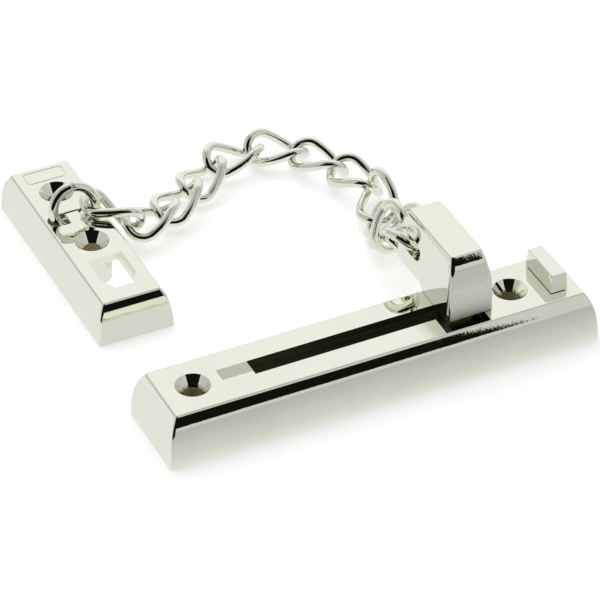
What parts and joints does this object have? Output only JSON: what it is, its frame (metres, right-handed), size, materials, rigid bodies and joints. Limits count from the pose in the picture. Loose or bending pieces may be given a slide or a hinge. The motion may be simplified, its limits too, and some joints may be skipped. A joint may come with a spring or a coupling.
{
  "type": "door chain",
  "caption": "Surface-mounted door chain: slotted guide plate with a sliding block, twisted-link chain, and a keep plate with an anchor ring, all bright nickel plated.",
  "frame": {"origin": "middle of the guide plate's flat back face, where it meets the door", "axes": "+X along the guide towards the end with the stop lug, +Y from the guide towards the chain and keep, +Z away from the mounting surface"},
  "size_m": [0.128, 0.1276, 0.0336],
  "materials": {
    "plated_casting": "polished",
    "plated_wire": "polished"
  },
  "bodies": {
    "guide_body": {"guide": "plated_casting"},
    "slider_body": {"slider": "plated_casting"},
    "keep_body": {"keep": "plated_casting"},
    "ring_body": {"ring": "plated_wire"},
    "link_01_body": {"link_01": "plated_wire"},
    "link_02_body": {"link_02": "plated_wire"},
    "link_03_body": {"link_03": "plated_wire"},
    "link_04_body": {"link_04": "plated_wire"},
    "link_05_body": {"link_05": "plated_wire"},
    "link_06_body": {"link_06": "plated_wire"},
    "link_07_body": {"link_07": "plated_wire"},
    "link_08_body": {"link_08": "plated_wire"},
    "link_09_body": {"link_09": "plated_wire"},
    "link_10_body": {"link_10": "plated_wire"},
    "link_11_body": {"link_11": "plated_wire"},
    "link_12_body": {"link_12": "plated_wire"},
    "link_13_body": {"link_13": "plated_wire"}
  },
  "joints": [
    {"name": "slider_travel", "type": "slide", "parent": "guide_body", "child": "slider_body", "axis": [1, 0, 0], "range_m": [-0.0555, 0.0002]},
    {"name": "link_13_turn", "type": "hinge", "parent": "slider_body", "child": "link_13_body", "pos_m": [0.024, 0.023, 0.02465], "axis": [0, 0, 1], "range_deg": [-6, 2]},
    {"name": "link_12_turn", "type": "hinge", "parent": "link_13_body", "child": "link_12_body", "pos_m": [0.02728, 0.03349, 0.0254], "axis": [0, 0, 1], "range_deg": [-9, 2]},
    {"name": "link_11_turn", "type": "hinge", "parent": "link_12_body", "child": "link_11_body", "pos_m": [0.02845, 0.03388, 0.01029], "axis": [0, 0, 1], "range_deg": [-9, 0]},
    {"name": "link_10_turn", "type": "hinge", "parent": "link_11_body", "child": "link_10_body", "pos_m": [0.03398, 0.04505, 0.0066], "axis": [0, 0, 1], "range_deg": [-9, 0]},
    {"name": "link_09_turn", "type": "hinge", "parent": "link_10_body", "child": "link_09_body", "pos_m": [0.02975, 0.05742, 0.00297], "axis": [0, 0, 1], "range_deg": [-9, 2]},
    {"name": "link_08_turn", "type": "hinge", "parent": "link_09_body", "child": "link_08_body", "pos_m": [0.03675, 0.06968, 0.0044], "axis": [0, 0, 1], "range_deg": [-9, 2]},
    {"name": "link_07_turn", "type": "hinge", "parent": "link_08_body", "child": "link_07_body", "pos_m": [0.03225, 0.08288, 0.00602], "axis": [0, 0, 1], "range_deg": [-9, 2]},
    {"name": "link_06_turn", "type": "hinge", "parent": "link_07_body", "child": "link_06_body", "pos_m": [0.02198, 0.09344, 0.00496], "axis": [0, 0, 1], "range_deg": [-9, 0]},
    {"name": "link_05_turn", "type": "hinge", "parent": "link_06_body", "child": "link_05_body", "pos_m": [0.01363, 0.10297, 0.00355], "axis": [0, 0, 1], "range_deg": [-9, 2]},
    {"name": "link_04_turn", "type": "hinge", "parent": "link_05_body", "child": "link_04_body", "pos_m": [0.00006, 0.10044, 0.00493], "axis": [0, 0, 1], "range_deg": [-9, 2]},
    {"name": "link_03_turn", "type": "hinge", "parent": "link_04_body", "child": "link_03_body", "pos_m": [-0.01155, 0.09219, 0.00499], "axis": [0, 0, 1], "range_deg": [-9, 2]},
    {"name": "link_02_turn", "type": "hinge", "parent": "link_03_body", "child": "link_02_body", "pos_m": [-0.02473, 0.0871, 0.00584], "axis": [0, 0, 1], "range_deg": [-9, 2]},
    {"name": "link_01_turn", "type": "hinge", "parent": "link_02_body", "child": "link_01_body", "pos_m": [-0.03415, 0.08525, 0.0074], "axis": [0, 0, 1], "range_deg": [-2, 2]},
    {"name": "ring_turn", "type": "hinge", "parent": "link_01_body", "child": "ring_body", "pos_m": [-0.044, 0.08495, 0.01338], "axis": [0, 0, 1], "range_deg": [-2, 2]},
    {"name": "ring_lean", "type": "hinge", "parent": "ring_body", "child": "keep_body", "pos_m": [-0.04873, 0.0856, 0.0111], "axis": [1, 0, 0], "range_deg": [-3, 5]}
  ]
}
